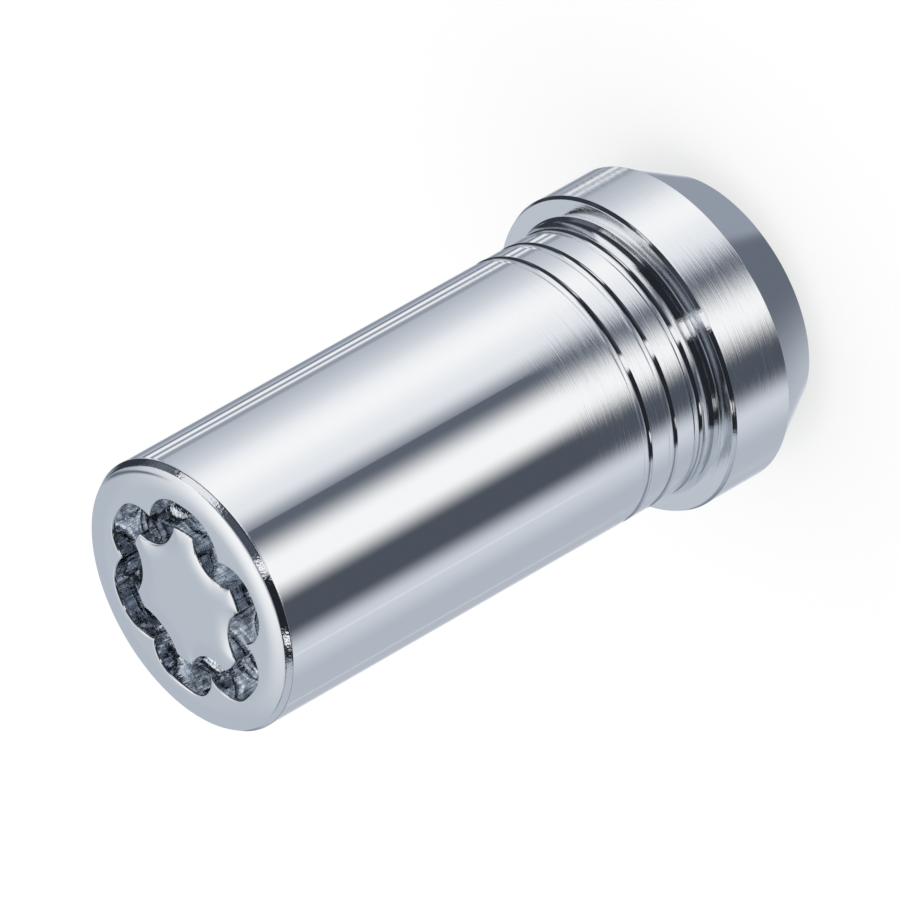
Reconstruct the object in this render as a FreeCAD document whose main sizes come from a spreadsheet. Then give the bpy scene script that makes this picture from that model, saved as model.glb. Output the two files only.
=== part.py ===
import FreeCAD, Part
import math
import os

import Sketcher


# Driving dimensions, in millimetres and degrees.
SIZES = {
    "overall_length": 52.8,
    "body_diameter": 22.0,
    "bevel_width": 0.33,
    "bevel_height": 0.48,
    "crown_width": 0.69,
    "crown_drop": 0.25,
    "crown_round": 3.6,
    "collar_overhang": 1.9,
    "collar_height": 5.55,
    "collar_bevel_width": 0.18,
    "collar_bevel_height": 0.33,
    "seat_length": 4.55,
    "seat_angle": 60.0,
    "neck_root_height": 0.45,
    "neck_root_rise": 0.08,
    "neck_flare_height": 0.65,
    "neck_flare_rise": 0.2,
    "neck_land": 0.3,
    "ring_pitch": 2.5,
    "ring_floor_width": 0.45,
    "ring_low_run": 0.31,
    "ring_high_run": 0.12,
    "ring_depth": 0.15,
    "thread_diameter": 14.0,
    "thread_pitch": 1.5,
    "thread_lead_in": 0.5,
    "drill_point_angle": 118.0,
    "head_web": 6.0,
    "key_depth": 3.3,
    "island_tip_radius": 6.03,
}
RING_COUNT = 3

# Lobes of the key groove's outer wall. Each has a crown concentric with the nut, and a shoulder
# on both sides that is tangent to the crown and meets the next lobe's in a sharp cusp.
# Columns: middle of the crown, half the crown's angle, crown radius, shoulder radius.
LOBES = [
    (44.5, 5.5, 8.45, 3.25),
    (108.0, 7.0, 8.30, 2.55),
    (163.0, 1.0, 8.50, 3.30),
    (219.0, 8.0, 8.40, 2.25),
    (280.0, 7.5, 8.45, 2.65),
    (340.5, 3.5, 8.50, 2.90),
]
LOBE_COLUMNS = ("angle", "spread", "reach", "shoulder")

# Round bites out of the island that stands inside the groove.
# Columns: direction of the bite's centre, its distance from the axis, its radius.
BITES = [
    (13.0, 7.05, 2.70),
    (80.0, 7.75, 3.25),
    (136.5, 8.60, 3.65),
    (191.0, 9.15, 4.10),
    (247.0, 7.25, 2.50),
    (309.5, 7.85, 3.30),
]
BITE_COLUMNS = ("angle", "distance", "radius")

START, END, CENTRE = 1, 2, 3
SKETCH_ORIGIN = (-1, 1)


def fill_sheet(doc):
    """Write every driving dimension into the sheet, one alias to a cell."""
    sheet = doc.addObject("Spreadsheet::Sheet", "Sizes")
    rows = list(SIZES.items())
    for name, columns, table in (("lobe", LOBE_COLUMNS, LOBES), ("bite", BITE_COLUMNS, BITES)):
        for number, values in enumerate(table, 1):
            for column, value in zip(columns, values):
                rows.append(("%s_%d_%s" % (name, number, column), value))
    for row, (alias, value) in enumerate(rows, 1):
        sheet.set("A%d" % row, alias)
        sheet.set("B%d" % row, str(value))
        sheet.setAlias("B%d" % row, alias)
    doc.recompute()
    return sheet


def origin_part(body, role):
    """The body's own origin plane or axis that has this role."""
    return next(part for part in body.Origin.OriginFeatures if part.Role == role)


def new_sketch(body, name, plane):
    sketch = body.newObject("Sketcher::SketchObject", name)
    sketch.AttachmentSupport = [(origin_part(body, plane), "")]
    sketch.MapMode = "FlatFace"
    return sketch


def bind(sketch, name, kind, places, value, expression):
    """Add a dimension to a sketch and tie it to the sheet."""
    index = sketch.addConstraint(Sketcher.Constraint(kind, *places, value))
    sketch.renameConstraint(index, name)
    sketch.setExpression("Constraints." + name, expression)


def outline(sketch, name, corners):
    """A closed outline of straight edges. Each corner is (x, y, x formula, y formula) and an
    empty formula means that the corner lies on that axis."""
    points = [FreeCAD.Vector(x, y, 0) for x, y, _, _ in corners]
    count = len(points)
    edges = []
    for index, point in enumerate(points):
        following = points[(index + 1) % count]
        edges.append(sketch.addGeometry(Part.LineSegment(point, following), False))
    for index, edge in enumerate(edges):
        following = edges[(index + 1) % count]
        sketch.addConstraint(Sketcher.Constraint("Coincident", edge, END, following, START))
    for index, (x, y, x_formula, y_formula) in enumerate(corners):
        corner = (edges[index], START)
        label = "%s_%d" % (name, index)
        for kind, value, formula, axis in (("DistanceX", x, x_formula, -2), ("DistanceY", y, y_formula, -1)):
            if formula:
                bind(sketch, label + kind[-1].lower(), kind, SKETCH_ORIGIN + corner, value, formula)
            else:
                sketch.addConstraint(Sketcher.Constraint("PointOnObject", *corner, axis))


def circular_edges(shape, radius, height):
    """Names of the shape's full circles of this radius about the axis, at this height."""
    names = []
    for number, edge in enumerate(shape.Edges, 1):
        curve = edge.Curve
        if isinstance(curve, Part.Circle) and abs(curve.Radius - radius) < 1e-4:
            if abs(curve.Center.z - height) < 1e-4:
                names.append("Edge%d" % number)
    return names


def turn_blank(doc, body):
    """The turned outside: cone seat at the foot, collar, neck, long body and a head with a bevel
    and a sloped rim. The collar's front edge has a small bevel of the same kind."""
    length = SIZES["overall_length"]
    body_r = SIZES["body_diameter"] / 2
    collar_r = body_r + SIZES["collar_overhang"]
    seat_top = SIZES["seat_length"]
    collar_top = seat_top + SIZES["collar_height"]
    foot_r = collar_r - seat_top * math.tan(math.radians(SIZES["seat_angle"] / 2))
    root_top = collar_top + SIZES["neck_root_height"]
    flare_top = root_top + SIZES["neck_flare_height"]
    flare_r = body_r + SIZES["neck_flare_rise"]
    root_r = flare_r + SIZES["neck_root_rise"]
    bevel_r = body_r - SIZES["bevel_width"]
    bevel_top = length - SIZES["crown_drop"]
    collar_edge_r = collar_r - SIZES["collar_bevel_width"]

    half = "Sizes.body_diameter / 2"
    collar = half + " + Sizes.collar_overhang"
    top = "Sizes.seat_length + Sizes.collar_height"
    root = top + " + Sizes.neck_root_height"
    bevel = half + " - Sizes.bevel_width"
    rim = "Sizes.overall_length - Sizes.crown_drop"
    sketch = new_sketch(body, "TurnedProfile", "XZ_Plane")
    outline(sketch, "turned", [
        (0, 0, "", ""),
        (foot_r, 0, collar + " - Sizes.seat_length * tan(Sizes.seat_angle * 0.5 deg)", ""),
        (collar_r, seat_top, collar, "Sizes.seat_length"),
        (collar_r, collar_top - SIZES["collar_bevel_height"], collar, top + " - Sizes.collar_bevel_height"),
        (collar_edge_r, collar_top, collar + " - Sizes.collar_bevel_width", top),
        (root_r, collar_top, half + " + Sizes.neck_flare_rise + Sizes.neck_root_rise", top),
        (flare_r, root_top, half + " + Sizes.neck_flare_rise", root),
        (body_r, flare_top, half, root + " + Sizes.neck_flare_height"),
        (body_r, bevel_top - SIZES["bevel_height"], half, rim + " - Sizes.bevel_height"),
        (bevel_r, bevel_top, bevel, rim),
        (bevel_r - SIZES["crown_width"], length, bevel + " - Sizes.crown_width", "Sizes.overall_length"),
        (0, length, "", "Sizes.overall_length"),
    ])
    blank = body.newObject("PartDesign::Revolution", "TurnedBlank")
    blank.Profile = sketch
    blank.ReferenceAxis = (sketch, ["V_Axis"])
    blank.Angle = 360
    doc.recompute()
    return blank


def cut_rings(doc, body):
    """Shallow ring grooves round the body beside the neck. The wall on the neck's side slopes,
    and the wall on the head's side is steep."""
    body_r = SIZES["body_diameter"] / 2
    floor_r = body_r - SIZES["ring_depth"]
    low = sum(SIZES[name] for name in ("seat_length", "collar_height", "neck_root_height",
                                       "neck_flare_height", "neck_land"))
    floor_low = low + SIZES["ring_low_run"]
    floor_high = floor_low + SIZES["ring_floor_width"]
    high = floor_high + SIZES["ring_high_run"]
    # The profile stands clear of the body's surface, so that the cut is never left a skin.
    clear_r = body_r + SIZES["collar_overhang"]

    low_text = ("Sizes.seat_length + Sizes.collar_height + Sizes.neck_root_height"
                " + Sizes.neck_flare_height + Sizes.neck_land")
    floor_text = "Sizes.body_diameter / 2 - Sizes.ring_depth"
    mouth_text = "Sizes.body_diameter / 2"
    clear_text = "Sizes.body_diameter / 2 + Sizes.collar_overhang"
    floor_low_text = low_text + " + Sizes.ring_low_run"
    floor_high_text = floor_low_text + " + Sizes.ring_floor_width"
    high_text = floor_high_text + " + Sizes.ring_high_run"
    sketch = new_sketch(body, "RingProfile", "XZ_Plane")
    outline(sketch, "ring", [
        (clear_r, low, clear_text, low_text),
        (clear_r, high, clear_text, high_text),
        (body_r, high, mouth_text, high_text),
        (floor_r, floor_high, floor_text, floor_high_text),
        (floor_r, floor_low, floor_text, floor_low_text),
        (body_r, low, mouth_text, low_text),
    ])
    ring = body.newObject("PartDesign::Groove", "FirstRing")
    ring.Profile = sketch
    ring.ReferenceAxis = (sketch, ["V_Axis"])
    ring.Angle = 360
    doc.recompute()
    rings = body.newObject("PartDesign::LinearPattern", "Rings")
    rings.Originals = [ring]
    rings.Direction = (origin_part(body, "Z_Axis"), [""])
    rings.Mode = "Spacing"
    rings.Occurrences = RING_COUNT
    rings.setExpression("Offset", "Sizes.ring_pitch")
    body.Tip = rings
    doc.recompute()
    return rings


def round_crown(doc, body, base):
    """Round the flat face gently over into the head's sloped rim."""
    crown_r = SIZES["body_diameter"] / 2 - SIZES["bevel_width"] - SIZES["crown_width"]
    edges = circular_edges(base.Shape, crown_r, SIZES["overall_length"])
    if len(edges) != 1:
        raise RuntimeError("the head's crown: expected one edge, found %d" % len(edges))
    crown = body.newObject("PartDesign::Fillet", "HeadCrown")
    crown.Base = (base, edges)
    crown.setExpression("Radius", "Sizes.crown_round")
    doc.recompute()
    return crown


def polar(distance, angle):
    """The sketch point at this distance and angle (degrees) from the nut's axis."""
    turn = math.radians(angle)
    return FreeCAD.Vector(distance * math.cos(turn), distance * math.sin(turn), 0)


def outer_meeting(centre_a, radius_a, centre_b, radius_b):
    """Where two circles cross, on the side away from the nut's axis."""
    across = centre_b - centre_a
    gap = across.Length
    along = (gap * gap + radius_a * radius_a - radius_b * radius_b) / (2 * gap)
    height = math.sqrt(radius_a * radius_a - along * along)
    foot = centre_a + across * (along / gap)
    side = FreeCAD.Vector(-across.y, across.x, 0) * (height / gap)
    return max(foot + side, foot - side, key=lambda point: point.Length)


def arc(sketch, centre, radius, start, end):
    """A counter-clockwise arc from start to end."""
    first = math.atan2(start.y - centre.y, start.x - centre.x)
    last = math.atan2(end.y - centre.y, end.x - centre.x)
    circle = Part.Circle(centre, FreeCAD.Vector(0, 0, 1), radius)
    return sketch.addGeometry(Part.ArcOfCircle(circle, first, last), False)


def spoke(sketch, name, end, place, angle, formula):
    """A construction line from the axis to a point of the outline, at an angle from the sheet."""
    line = sketch.addGeometry(Part.LineSegment(FreeCAD.Vector(), end), True)
    sketch.addConstraint(Sketcher.Constraint("Coincident", line, START, *SKETCH_ORIGIN))
    sketch.addConstraint(Sketcher.Constraint("Coincident", line, END, *place))
    bind(sketch, name, "Angle", (line,), math.radians(angle), formula)
    return line


def draw_outer_wall(sketch):
    """Six lobes, each a crown arc between two shoulder arcs, closed through the cusps."""
    axis = FreeCAD.Vector()
    shoulders = []
    for angle, spread, reach, shoulder in LOBES:
        shoulders.append((polar(reach - shoulder, angle - spread), polar(reach - shoulder, angle + spread)))
    count = len(LOBES)
    cusps = []
    for index in range(count):
        following = (index + 1) % count
        cusps.append(outer_meeting(shoulders[index][1], LOBES[index][3],
                                   shoulders[following][0], LOBES[following][3]))
    previous = None
    first = None
    for index, (angle, spread, reach, shoulder) in enumerate(LOBES):
        name = "lobe_%d_" % (index + 1)
        cell = "Sizes." + name
        crown_start = polar(reach, angle - spread)
        crown_end = polar(reach, angle + spread)
        rising = arc(sketch, shoulders[index][0], shoulder, cusps[index - 1], crown_start)
        crown = arc(sketch, axis, reach, crown_start, crown_end)
        falling = arc(sketch, shoulders[index][1], shoulder, crown_end, cusps[index])
        sketch.addConstraint(Sketcher.Constraint("Coincident", crown, CENTRE, *SKETCH_ORIGIN))
        sketch.addConstraint(Sketcher.Constraint("Tangent", rising, END, crown, START))
        sketch.addConstraint(Sketcher.Constraint("Tangent", crown, END, falling, START))
        sketch.addConstraint(Sketcher.Constraint("Equal", rising, falling))
        bind(sketch, name + "reach", "Radius", (crown,), reach, cell + "reach")
        bind(sketch, name + "shoulder", "Radius", (falling,), shoulder, cell + "shoulder")
        spoke(sketch, name + "from", crown_start, (crown, START), angle - spread,
              "(%sangle - %sspread) * 1 deg" % (cell, cell))
        spoke(sketch, name + "to", crown_end, (crown, END), angle + spread,
              "(%sangle + %sspread) * 1 deg" % (cell, cell))
        if previous is None:
            first = rising
        else:
            sketch.addConstraint(Sketcher.Constraint("Coincident", previous, END, rising, START))
        previous = falling
    sketch.addConstraint(Sketcher.Constraint("Coincident", previous, END, first, START))


def draw_island(sketch):
    """The island: tips on one circle, and a round bite between each two tips."""
    axis = FreeCAD.Vector()
    tip_r = SIZES["island_tip_radius"]
    ends = []
    for angle, distance, radius in BITES:
        cosine = (distance ** 2 + tip_r ** 2 - radius ** 2) / (2 * distance * tip_r)
        half = math.degrees(math.acos(cosine))
        ends.append((polar(tip_r, angle - half), polar(tip_r, angle + half)))
    bites = []
    for index, (angle, distance, radius) in enumerate(BITES):
        name = "bite_%d_" % (index + 1)
        cell = "Sizes." + name
        centre = polar(distance, angle)
        bite = arc(sketch, centre, radius, ends[index][1], ends[index][0])
        line = spoke(sketch, name + "angle", centre, (bite, CENTRE), angle, cell + "angle * 1 deg")
        bind(sketch, name + "distance", "Distance", (line,), distance, cell + "distance")
        bind(sketch, name + "radius", "Radius", (bite,), radius, cell + "radius")
        bites.append(bite)
    first_tip = None
    for index, bite in enumerate(bites):
        following = (index + 1) % len(bites)
        tip = arc(sketch, axis, tip_r, ends[index][1], ends[following][0])
        sketch.addConstraint(Sketcher.Constraint("Coincident", tip, CENTRE, *SKETCH_ORIGIN))
        sketch.addConstraint(Sketcher.Constraint("Coincident", tip, START, bite, START))
        sketch.addConstraint(Sketcher.Constraint("Coincident", tip, END, bites[following], END))
        if first_tip is None:
            first_tip = tip
            bind(sketch, "tip_radius", "Radius", (tip,), tip_r, "Sizes.island_tip_radius")
        else:
            sketch.addConstraint(Sketcher.Constraint("Equal", first_tip, tip))


def cut_key_groove(doc, body):
    """The wavy key groove in the head, with its island left standing flush with the rim."""
    sketch = new_sketch(body, "KeyGrooveOutline", "XY_Plane")
    sketch.setExpression("AttachmentOffset.Base.z", "Sizes.overall_length")
    draw_outer_wall(sketch)
    draw_island(sketch)
    doc.recompute()
    if not sketch.FullyConstrained:
        raise RuntimeError("the key groove's outline isn't fully constrained")
    groove = body.newObject("PartDesign::Pocket", "KeyGroove")
    groove.Profile = sketch
    groove.Type = "Length"
    groove.setExpression("Length", "Sizes.key_depth")
    doc.recompute()
    return groove


def drill_bore(doc, body):
    """The blind thread bore at its tapping size, from the foot up, with a lead-in countersink."""
    sketch = new_sketch(body, "BoreCentre", "XY_Plane")
    bore_r = (SIZES["thread_diameter"] - SIZES["thread_pitch"]) / 2
    circle = sketch.addGeometry(Part.Circle(FreeCAD.Vector(), FreeCAD.Vector(0, 0, 1), bore_r), False)
    sketch.addConstraint(Sketcher.Constraint("Coincident", circle, CENTRE, *SKETCH_ORIGIN))
    bind(sketch, "bore", "Diameter", (circle,), 2 * bore_r, "Sizes.thread_diameter - Sizes.thread_pitch")
    doc.recompute()
    bore = body.newObject("PartDesign::Hole", "ThreadBore")
    bore.Profile = sketch
    doc.recompute()
    bore.ThreadType = "None"
    bore.setExpression("Diameter", "Sizes.thread_diameter - Sizes.thread_pitch")
    bore.DepthType = "Dimension"
    bore.setExpression("Depth", "Sizes.overall_length - Sizes.key_depth - Sizes.head_web"
                                " - (Sizes.thread_diameter - Sizes.thread_pitch) / 2"
                                " / tan(Sizes.drill_point_angle * 0.5 deg)")
    bore.DrillPoint = "Angled"
    bore.setExpression("DrillPointAngle", "Sizes.drill_point_angle * 1 deg")
    bore.HoleCutType = "Countersink"
    bore.setExpression("HoleCutDiameter", "Sizes.thread_diameter + 2 * Sizes.thread_lead_in")
    bore.HoleCutCountersinkAngle = 90
    bore.Reversed = True
    doc.recompute()
    return bore


def check(doc, node):
    """Stop before anything is written if a feature failed or the solid isn't sound."""
    for item in doc.Objects:
        if "Invalid" in item.State or "Error" in item.State:
            raise RuntimeError("%s is %s" % (item.Name, item.State))
    shape = node.Shape
    if shape.isNull() or not shape.isValid() or len(shape.Solids) != 1:
        raise RuntimeError("%s isn't one valid solid" % node.Label)


def removed(feature, before):
    """The volume that a cut took away, which has to be more than nothing."""
    volume = before.Shape.Volume - feature.Shape.Volume
    if volume < 1:
        raise RuntimeError("%s cuts nothing" % feature.Name)
    return volume


def main():
    doc = FreeCAD.newDocument("WheelNut")
    fill_sheet(doc)
    body = doc.addObject("PartDesign::Body", "WheelNut")
    body.Label = "wheel_nut"
    body.Placement = FreeCAD.Placement()

    blank = turn_blank(doc, body)
    rings = cut_rings(doc, body)
    crown = round_crown(doc, body, rings)
    groove = cut_key_groove(doc, body)
    bore = drill_bore(doc, body)
    body.Tip = bore
    doc.recompute()

    check(doc, body)
    for feature, before in ((rings, blank), (groove, crown), (bore, groove)):
        print("%s: %.1f mm3 removed" % (feature.Name, removed(feature, before)))
    box = body.Shape.optimalBoundingBox()
    print("size %.2f x %.2f x %.2f mm, volume %.0f mm3"
          % (box.XLength, box.YLength, box.ZLength, body.Shape.Volume))

    os.makedirs("parts", exist_ok=True)
    body.Shape.exportStep("parts/%s.step" % body.Label)


main()
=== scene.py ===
import math
from collections import namedtuple

import bmesh
import bpy
import numpy as np
from bpy.props import FloatProperty, FloatVectorProperty, IntProperty, PointerProperty
from mathutils import Matrix, Vector


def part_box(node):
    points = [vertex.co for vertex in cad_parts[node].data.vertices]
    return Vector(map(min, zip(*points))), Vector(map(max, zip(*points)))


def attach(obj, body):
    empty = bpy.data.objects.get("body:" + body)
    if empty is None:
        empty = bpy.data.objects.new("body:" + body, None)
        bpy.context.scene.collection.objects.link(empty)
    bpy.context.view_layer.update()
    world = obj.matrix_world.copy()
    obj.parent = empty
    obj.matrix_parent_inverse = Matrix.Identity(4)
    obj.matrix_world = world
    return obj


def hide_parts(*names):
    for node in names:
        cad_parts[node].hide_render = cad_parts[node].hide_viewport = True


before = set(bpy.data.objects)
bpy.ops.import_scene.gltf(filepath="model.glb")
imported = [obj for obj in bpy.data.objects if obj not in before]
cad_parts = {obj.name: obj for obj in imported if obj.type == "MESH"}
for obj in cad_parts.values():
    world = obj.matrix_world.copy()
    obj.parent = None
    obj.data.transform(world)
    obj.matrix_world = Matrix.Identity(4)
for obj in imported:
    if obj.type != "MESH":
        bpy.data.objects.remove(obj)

bl_info = {
    "name": "Locking Wheel Nut",
    "version": (1, 0, 0),
    "blender": (4, 5, 0),
    "location": "3D View > Sidebar > Wheel Nut",
    "description": "Builds a chromed locking wheel nut with a key groove, and a studio for it",
    "category": "Mesh",
}

NODE = "wheel_nut"
MM = 0.001
LOW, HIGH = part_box(NODE)
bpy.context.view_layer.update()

# The key groove's outer wall. Each lobe has a crown concentric with the nut and a shoulder on both
# sides, in degrees and millimetres, and two lobes meet in a cusp.
Lobe = namedtuple("Lobe", "angle spread reach shoulder")
LOBES = (
    Lobe(44.5, 5.5, 8.45, 3.25),
    Lobe(108.0, 7.0, 8.30, 2.55),
    Lobe(163.0, 1.0, 8.50, 3.30),
    Lobe(219.0, 8.0, 8.40, 2.25),
    Lobe(280.0, 7.5, 8.45, 2.65),
    Lobe(340.5, 3.5, 8.50, 2.90),
)
# Round bites out of the island: direction, distance of the centre from the axis, radius.
Bite = namedtuple("Bite", "angle distance radius")
BITES = (
    Bite(13.0, 7.05, 2.70),
    Bite(80.0, 7.75, 3.25),
    Bite(136.5, 8.60, 3.65),
    Bite(191.0, 9.15, 4.10),
    Bite(247.0, 7.25, 2.50),
    Bite(309.5, 7.85, 3.30),
)


def length(name, description, default):
    """A size in metres that the user may change."""
    return FloatProperty(name=name, description=description, default=default, min=0.0,
                         unit="LENGTH", precision=5)


class NutSizes(bpy.types.PropertyGroup):
    """Sizes of the nut, from the foot up."""
    body_radius: length("Body radius", "Radius of the long plain body", HIGH.x - 1.9 * MM)
    crown_width: length("Crown width", "Width of the face's rounded-off rim", 1.77 * MM)
    crown_drop: length("Crown drop", "How far the face falls off at its rim", 0.25 * MM)
    bevel_width: length("Bevel width", "Width of the head's bevel across the axis", 0.33 * MM)
    bevel_height: length("Bevel height", "Height of the head's bevel", 0.48 * MM)
    collar_height: length("Collar height", "Height of the collar's cylinder", 5.55 * MM)
    collar_bevel_width: length("Collar bevel width", "Width of the collar's front bevel", 0.18 * MM)
    collar_bevel_height: length("Collar bevel height", "Height of that bevel", 0.33 * MM)
    seat_length: length("Seat length", "Height of the cone seat", 4.55 * MM)
    seat_angle: FloatProperty(name="Seat angle", description="Full angle of the cone seat",
                              default=math.radians(60), subtype="ANGLE")
    neck_root_height: length("Neck root height", "Height of the neck's steep foot", 0.45 * MM)
    neck_root_rise: length("Neck root rise", "How far the steep foot stands out", 0.08 * MM)
    neck_flare_height: length("Neck flare height", "Height of the neck's flare", 0.45 * MM)
    neck_flare_rise: length("Neck flare rise", "How far the flare stands out", 0.20 * MM)
    neck_flare_round: length("Neck flare round", "Round where the flare starts", 1.4 * MM)
    neck_land: length("Neck land", "Plain body between the flare and the first ring", 0.5 * MM)
    ring_pitch: length("Ring pitch", "Distance from one ring groove to the next", 2.5 * MM)
    ring_floor: length("Ring floor", "Width of a ring groove's floor", 0.40 * MM)
    ring_low_run: length("Ring low wall", "Height of a groove's wall next the neck", 0.26 * MM)
    ring_high_run: length("Ring high wall", "Height of the wall next the head", 0.20 * MM)
    ring_depth: length("Ring depth", "Depth of a ring groove", 0.15 * MM)
    ring_count: IntProperty(name="Rings", description="Number of ring grooves", default=3, min=1)
    edge_round: length("Edge round", "Small round of the turned edges", 0.06 * MM)
    key_depth: length("Key depth", "Depth of the key groove", 3.3 * MM)
    key_fillet: length("Key fillet", "Round between the key groove's walls and floor", 1.0 * MM)
    rim_round: length("Rim round", "Round of the key groove's upper edges", 0.14 * MM)
    island_crown: length("Island crown", "Width of the island's rounded-off rim", 1.5 * MM)
    land_crown: length("Land crown", "Width of the rim round the groove", 0.26 * MM)
    tip_radius: length("Tip radius", "Radius of the island's tips", 6.03 * MM)
    thread_radius: length("Thread radius", "Radius at the thread's root", 7.0 * MM)
    thread_pitch: length("Thread pitch", "Pitch of the thread", 1.5 * MM)
    thread_end: length("Thread end", "Height where the thread runs out", 35.0 * MM)
    bore_end: length("Bore end", "Height where the bore's wall ends", 39.745 * MM)
    bore_tip: length("Bore tip", "Height of the drill point's tip", 43.5 * MM)
    bore_segments: IntProperty(name="Bore segments", description="Segments round the bore",
                               default=96, min=12)


class NutFinish(bpy.types.PropertyGroup):
    """Colours and roughness of the plated steel."""
    chrome: FloatVectorProperty(name="Chrome", description="Colour of the polished chrome",
                                subtype="COLOR", size=3, default=(0.90, 0.91, 0.925))
    groove: FloatVectorProperty(name="Groove chrome", description="Chrome inside the key groove",
                                subtype="COLOR", size=3, default=(0.88, 0.92, 0.97))
    thread: FloatVectorProperty(name="Thread steel", description="Thin plating inside the bore",
                                subtype="COLOR", size=3, default=(0.52, 0.54, 0.57))
    polish: FloatProperty(name="Polish", description="Roughness of the polished body",
                          default=0.035, min=0.0, max=1.0)
    turned: FloatProperty(name="Turned", description="Roughness of the turned end",
                          default=0.10, min=0.0, max=1.0)
    marks_end: length("Marks end", "Height where the turning marks have faded out", 27 * MM)
    marks_full: length("Marks full", "Height below which they have their full depth", 19 * MM)


class NutStudio(bpy.types.PropertyGroup):
    """Floor, light and camera."""
    plain_light: FloatProperty(name="Plain light", description="Level of the even soft light",
                               default=0.85, min=0.0)
    lamp: FloatProperty(name="Lamp", description="Strength of the soft lamp", default=0.5, min=0.0)
    paper: FloatProperty(name="Paper", description="Grey level of the floor's paper", default=0.40,
                         min=0.0, max=1.0)
    paper_glow: FloatProperty(name="Paper glow", description="What the camera sees added to it",
                              default=0.63, min=0.0)
    lens: FloatProperty(name="Lens", description="Focal length on a 36 mm sensor, in mm",
                        default=662.2, min=1.0)
    distance: length("Camera distance", "From the camera to the head's centre", 1.2074)


class Nodes:
    """A short way to add nodes to one tree and link them."""

    def __init__(self, tree):
        self.tree = tree

    def set(self, socket, value):
        if isinstance(value, bpy.types.NodeSocket):
            self.tree.links.new(value, socket)
        else:
            socket.default_value = value

    def add(self, kind, inputs=None, **settings):
        node = self.tree.nodes.new(kind)
        for name, value in settings.items():
            setattr(node, name, value)
        for name, value in (inputs or {}).items():
            self.set(node.inputs[name], value)
        return node

    def calc(self, kind, operation, values):
        node = self.add(kind, operation=operation)
        for socket, value in zip(node.inputs, values):
            self.set(socket, value)
        return node.outputs[0]

    def math(self, operation, *values):
        return self.calc("ShaderNodeMath", operation, values)

    def whole(self, operation, *values):
        return self.calc("FunctionNodeIntegerMath", operation, values)

    def ease(self, value, start, end, low=0.0, high=1.0):
        """A smooth step from low to high as the value goes from start to end."""
        inputs = {"Value": value, "From Min": start, "From Max": end, "To Min": low, "To Max": high}
        return self.add("ShaderNodeMapRange", inputs, interpolation_type="SMOOTHSTEP").outputs[0]

    def mix(self, factor, a, b, kind="RGBA"):
        node = self.add("ShaderNodeMix", data_type=kind)
        suffix = "_Color" if kind == "RGBA" else "_Float"
        sockets = {socket.identifier: socket for socket in node.inputs}
        self.set(sockets["Factor_Float"], factor)
        self.set(sockets["A" + suffix], a)
        self.set(sockets["B" + suffix], b)
        return next(out for out in node.outputs if out.identifier == "Result" + suffix)


def new_object(name, vertices, faces=()):
    mesh = bpy.data.meshes.new(name)
    mesh.from_pydata([tuple(v) for v in vertices], [], [tuple(f) for f in faces])
    mesh.update()
    made = bpy.data.objects.new(name, mesh)
    bpy.context.scene.collection.objects.link(made)
    return made


def remove_objects(*objects):
    for made in objects:
        mesh = made.data
        bpy.data.objects.remove(made)
        bpy.data.meshes.remove(mesh)


# Outlines of the key groove

CORNER_SHARPNESS = 12.0     # per millimetre; the corners are eased by about 0.06 mm


def turned_by(angles, middle):
    """Signed difference from an angle in degrees, from -180 to 180."""
    return (angles - middle + 180.0) % 360.0 - 180.0


def outer_wall(angles):
    """Radius of the groove's outer wall in millimetres, for angles in degrees."""
    reaches = []
    for lobe in LOBES:
        away = turned_by(angles, lobe.angle)
        bearing = np.radians(away - np.sign(away) * lobe.spread)
        inner = lobe.reach - lobe.shoulder
        under = lobe.shoulder ** 2 - (inner * np.sin(bearing)) ** 2
        shoulder = inner * np.cos(bearing) + np.sqrt(np.maximum(under, 0.0))
        reach = np.where(np.abs(away) <= lobe.spread, lobe.reach, shoulder)
        reaches.append(np.where((under > 0) & (np.abs(away) < 60), reach, 0.0))
    return np.log(np.exp(CORNER_SHARPNESS * np.array(reaches)).sum(0)) / CORNER_SHARPNESS


def island_wall(angles, tip):
    """Radius of the island's wall in millimetres, for angles in degrees."""
    reaches = [np.full_like(angles, tip)]
    for bite in BITES:
        bearing = np.radians(turned_by(angles, bite.angle))
        under = bite.radius ** 2 - (bite.distance * np.sin(bearing)) ** 2
        near = bite.distance * np.cos(bearing) - np.sqrt(np.maximum(under, 0.0))
        cut = (under > 0) & (np.abs(bearing) < math.pi / 2)
        reaches.append(np.where(cut, near, bite.distance))
    return -np.log(np.exp(-CORNER_SHARPNESS * np.array(reaches)).sum(0)) / CORNER_SHARPNESS


def corner_angles(tip):
    """Where the outer wall has its cusps and the island its corners, in degrees."""
    fine = np.arange(0.0, 360.0, 0.05)
    wall = outer_wall(fine)
    lowest = (wall < np.roll(wall, 1)) & (wall <= np.roll(wall, -1))
    corners = list(fine[lowest])
    for bite in BITES:
        cosine = (bite.distance ** 2 + tip ** 2 - bite.radius ** 2) / (2 * bite.distance * tip)
        half = math.degrees(math.acos(cosine))
        corners += [bite.angle - half, bite.angle + half]
    return [corner % 360.0 for corner in corners]


def ray_angles(tip, step=1.5, near=(0.3, 0.8, 1.5)):
    """Angles of the rays that the nut's outside is laid out on, denser at the corners."""
    chosen = []
    for corner in corner_angles(tip):
        chosen += [corner] + [corner + side * gap for gap in near for side in (-1, 1)]
    chosen = sorted(angle % 360.0 for angle in chosen)
    kept = [chosen[0]]
    for angle in chosen[1:]:
        if angle - kept[-1] > 0.2:
            kept.append(angle)
    angles = []
    for start, end in zip(kept, kept[1:] + [kept[0] + 360.0]):
        parts = max(1, math.ceil((end - start) / step))
        angles += [start + (end - start) * part / parts for part in range(parts)]
    return np.array(angles)


def distance_to(points, outline):
    """Distance from each point to the nearest point of an outline."""
    gaps = points[:, None, :] - outline[None, :, :]
    return np.sqrt((gaps ** 2).sum(-1).min(-1))


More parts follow.
